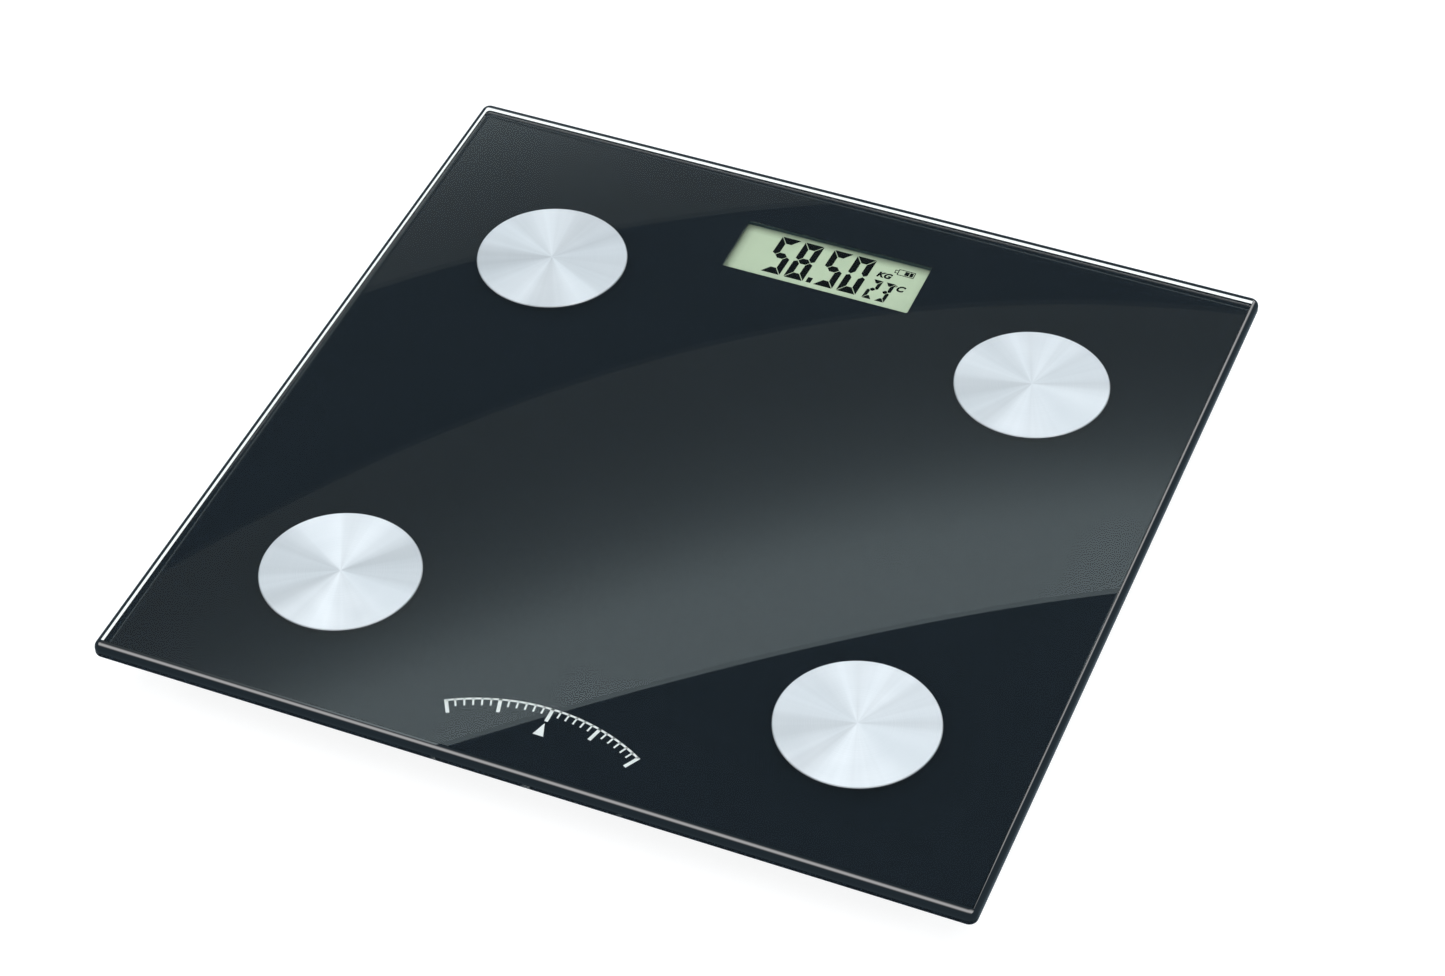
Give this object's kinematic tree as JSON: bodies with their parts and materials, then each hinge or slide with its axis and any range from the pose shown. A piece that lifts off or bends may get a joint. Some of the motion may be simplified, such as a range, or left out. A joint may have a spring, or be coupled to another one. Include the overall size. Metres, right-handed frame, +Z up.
{
  "type": "digital bathroom scale",
  "caption": "Square glass-topped digital bathroom scale with round metal electrodes, an LCD window, load-cell feet and a battery door underneath.",
  "frame": {"origin": "centre of the square footprint, at the level of the foot pads' undersides", "axes": "+Z up out of the glass, +Y towards the display edge, +X to the user's right"},
  "size_m": [0.28, 0.28, 0.0227],
  "materials": {
    "platform_glass": "polished",
    "black_print": "gloss",
    "brushed_disc": "circular brushed",
    "white_tape": "matte",
    "natural_nylon": "matte",
    "tinned_brass": "tinned",
    "plated_steel": "zinc plated",
    "spring_plate": "nickel plated",
    "housing_plastic": "fine moulded texture",
    "foot_plastic": "fine moulded texture",
    "foot_rubber": "matte",
    "cell_steel": "nickel plated",
    "gauge_sealant": "satin",
    "wire_insulation": "satin",
    "battery_wrap": "gloss",
    "lcd_glass": "satin",
    "reflector": "matte",
    "holder_plastic": "matte",
    "gasket_foam": "matte",
    "zebra_rubber": "satin",
    "board_laminate": "solder mask",
    "epoxy": "gloss",
    "smd_ceramic": "satin",
    "switch_plastic": "satin",
    "button_plastic": "satin"
  },
  "bodies": {
    "platform": {"backing_film": "black_print", "battery_back": "battery_wrap", "battery_bridge_contact": "spring_plate", "battery_front": "battery_wrap", "battery_leads": "wire_insulation", "battery_negative_contact": "spring_plate", "battery_positive_contact": "spring_plate", "board_screws": "plated_steel", "cell_carrier_back_left": "housing_plastic", "cell_carrier_back_right": "housing_plastic", "cell_carrier_front_left": "housing_plastic", "cell_carrier_front_right": "housing_plastic", "chip_cap": "epoxy", "circuit_board": "board_laminate", "cover_screws": "plated_steel", "display_housing": "housing_plastic", "electrode_adhesive": "white_tape", "electrode_disc_back_left": "brushed_disc", "electrode_disc_back_right": "brushed_disc", "electrode_disc_front_left": "brushed_disc", "electrode_disc_front_right": "brushed_disc", "electrode_leads": "wire_insulation", "electrode_nuts": "plated_steel", "electrode_terminals": "tinned_brass", "electrode_washers": "natural_nylon", "glass_platform": "platform_glass", "housing_cover": "housing_plastic", "lcd_holder": "holder_plastic", "lcd_panel": "lcd_glass", "lcd_reflector": "reflector", "load_cell_back_left": "cell_steel", "load_cell_back_right": "cell_steel", "load_cell_front_left": "cell_steel", "load_cell_front_right": "cell_steel", "load_cell_leads_back_left": "wire_insulation", "load_cell_leads_back_right": "wire_insulation", "load_cell_leads_front_left": "wire_insulation", "load_cell_leads_front_right": "wire_insulation", "mounting_tape": "white_tape", "strain_gauges": "gauge_sealant", "surface_mount_parts": "smd_ceramic", "tact_switch": "switch_plastic", "window_gasket": "gasket_foam", "wire_duct_back_left": "housing_plastic", "wire_duct_back_right": "housing_plastic", "wire_duct_front_left": "housing_plastic", "wire_duct_front_right": "housing_plastic", "zebra_strip": "zebra_rubber"},
    "foot_front_left": {"foot_cap_front_left": "foot_plastic", "foot_pad_front_left": "foot_rubber"},
    "foot_front_right": {"foot_cap_front_right": "foot_plastic", "foot_pad_front_right": "foot_rubber"},
    "foot_back_left": {"foot_cap_back_left": "foot_plastic", "foot_pad_back_left": "foot_rubber"},
    "foot_back_right": {"foot_cap_back_right": "foot_plastic", "foot_pad_back_right": "foot_rubber"},
    "unit_button": {"unit_button": "button_plastic"},
    "tact_plunger": {"tact_plunger": "switch_plastic"},
    "battery_door": {"battery_door": "housing_plastic", "door_latch": "housing_plastic"}
  },
  "joints": [
    {"name": "foot_press_front_left", "type": "slide", "parent": "platform", "child": "foot_front_left", "axis": [0, 0, 1], "range_m": [0, 0.0005], "stiffness_N_per_m": 5000, "springref_m": -0.001, "deforming": ["load_cell_front_left"]},
    {"name": "foot_press_front_right", "type": "slide", "parent": "platform", "child": "foot_front_right", "axis": [0, 0, 1], "range_m": [0, 0.0005], "stiffness_N_per_m": 5000, "springref_m": -0.001, "deforming": ["load_cell_front_right"]},
    {"name": "foot_press_back_left", "type": "slide", "parent": "platform", "child": "foot_back_left", "axis": [0, 0, 1], "range_m": [0, 0.0005], "stiffness_N_per_m": 5000, "springref_m": -0.001, "deforming": ["load_cell_back_left"]},
    {"name": "foot_press_back_right", "type": "slide", "parent": "platform", "child": "foot_back_right", "axis": [0, 0, 1], "range_m": [0, 0.0005], "stiffness_N_per_m": 5000, "springref_m": -0.001, "deforming": ["load_cell_back_right"]},
    {"name": "button_press", "type": "slide", "parent": "platform", "child": "unit_button", "axis": [0, 0, 1], "range_m": [0, 0.0003], "stiffness_N_per_m": 4000, "springref_m": -0.0001},
    {"name": "plunger_press", "type": "slide", "parent": "platform", "child": "tact_plunger", "axis": [0, 0, 1], "range_m": [0, 0.0003]},
    {"name": "door_swing", "type": "hinge", "parent": "platform", "child": "battery_door", "pos_m": [0, 0.0846, 0.0052], "axis": [1, 0, 0], "range_deg": [0, 80], "deforming": ["door_latch"]}
  ],
  "couplings": [
    {"joint": "plunger_press", "follows": "button_press", "ratio": 1}
  ]
}
